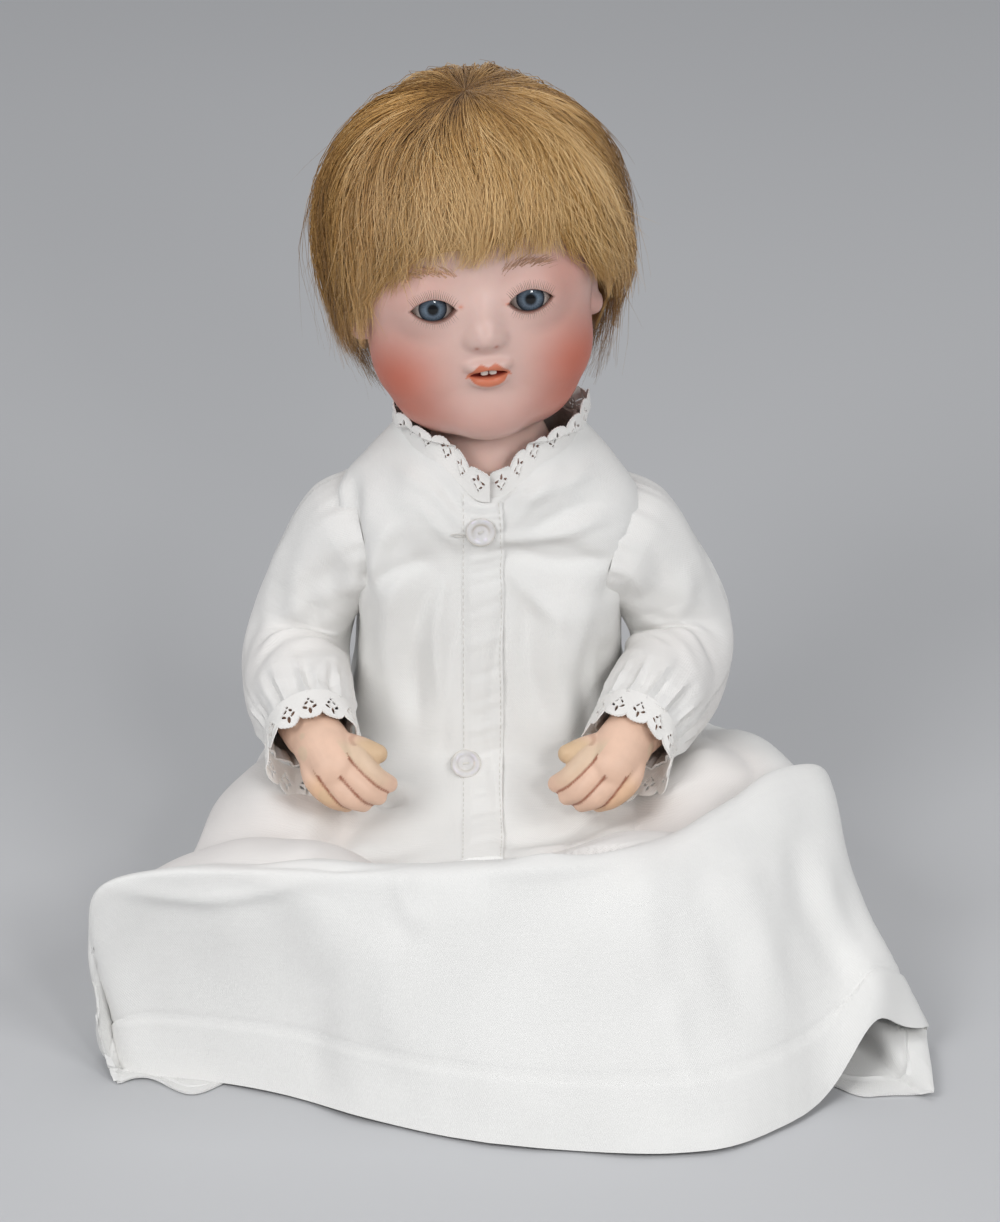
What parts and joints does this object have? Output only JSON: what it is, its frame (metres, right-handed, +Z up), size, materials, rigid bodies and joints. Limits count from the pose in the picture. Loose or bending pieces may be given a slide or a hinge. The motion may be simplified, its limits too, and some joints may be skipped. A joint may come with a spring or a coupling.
{
  "type": "bisque-headed baby doll",
  "caption": "Seated baby doll with a bisque socket head, sleeping glass eyes, mohair wig, strung composition limbs and a long white cotton gown.",
  "frame": {"origin": "on the surface that the doll sits on, straight below its neck, on the underside of the gown", "axes": "+Z up, -Y the way the doll faces, +X the doll's own left"},
  "size_m": [0.2607, 0.2621, 0.2747],
  "materials": {
    "bisque": "matt fired bisque with painted features",
    "composition": "painted wood-pulp composition, satin",
    "cotton": "plain woven white cotton",
    "lace": "white eyelet embroidery",
    "mohair": "brushed golden mohair",
    "eye_glass": "blue-grey blown glass eye, opaque",
    "tooth": "white glazed",
    "shell": "polished mother-of-pearl",
    "felt": "dark red felt",
    "plaster": "rough plaster",
    "cork": "cork",
    "pasteboard": "pressed pasteboard",
    "lead": "dull cast lead",
    "steel_wire": "drawn wire",
    "turned_wood": "turned, unfinished",
    "elastic": "cloth-covered elastic cord"
  },
  "bodies": {
    "torso": {"torso_shell": "composition", "gown_body": "cotton", "collar_ruffle": "lace", "button_placket": "cotton", "upper_button": "shell", "lower_button": "shell", "arm_elastic": "elastic", "leg_elastic": "elastic", "neck_elastic": "elastic"},
    "neck_swivel": {"neck_button": "turned_wood", "neck_hook": "steel_wire"},
    "head": {"head_shell": "bisque", "crown_pate": "pasteboard", "mohair_wig": "mohair", "upper_teeth": "tooth", "mouth_lining": "felt", "left_eye_boss": "plaster", "right_eye_boss": "plaster", "cork_stop": "cork"},
    "eyes": {"left_eye": "eye_glass", "right_eye": "eye_glass", "eye_axle_wire": "steel_wire", "eye_weight": "lead"},
    "left_arm": {"left_arm": "composition", "left_arm_hook": "steel_wire", "left_sleeve": "cotton", "left_cuff": "lace"},
    "right_arm": {"right_arm": "composition", "right_arm_hook": "steel_wire", "right_sleeve": "cotton", "right_cuff": "lace"},
    "left_leg": {"left_leg": "composition", "left_leg_hook": "steel_wire"},
    "right_leg": {"right_leg": "composition", "right_leg_hook": "steel_wire"}
  },
  "joints": [
    {"name": "head_turn", "type": "hinge", "parent": "torso", "child": "neck_swivel", "pos_m": [0, 0.002, 0.1466], "axis": [0, 0, 1], "range_deg": [-75, 75], "deforming": ["neck_elastic"]},
    {"name": "head_nod", "type": "hinge", "parent": "neck_swivel", "child": "head", "pos_m": [0, 0.002, 0.1466], "axis": [1, 0, 0], "range_deg": [-15, 6]},
    {"name": "eye_sleep", "type": "hinge", "parent": "head", "child": "eyes", "pos_m": [-0.00309, -0.02539, 0.21297], "axis": [0.9929, 0.0866, 0.0819], "range_deg": [0, 65]},
    {"name": "left_arm_swing", "type": "hinge", "parent": "torso", "child": "left_arm", "pos_m": [0.03594, 0, 0.1156], "axis": [-1, 0, 0], "range_deg": [0, 80], "deforming": ["arm_elastic"]},
    {"name": "right_arm_swing", "type": "hinge", "parent": "torso", "child": "right_arm", "pos_m": [-0.03594, 0, 0.1156], "axis": [-1, 0, 0], "range_deg": [0, 80], "deforming": ["arm_elastic"]},
    {"name": "left_leg_swing", "type": "hinge", "parent": "torso", "child": "left_leg", "pos_m": [0.03694, 0, 0.0286], "axis": [-1, 0, 0], "range_deg": [0, 12], "deforming": ["leg_elastic", "gown_body"]},
    {"name": "right_leg_swing", "type": "hinge", "parent": "torso", "child": "right_leg", "pos_m": [-0.03694, 0, 0.0286], "axis": [-1, 0, 0], "range_deg": [0, 12], "deforming": ["leg_elastic", "gown_body"]}
  ]
}
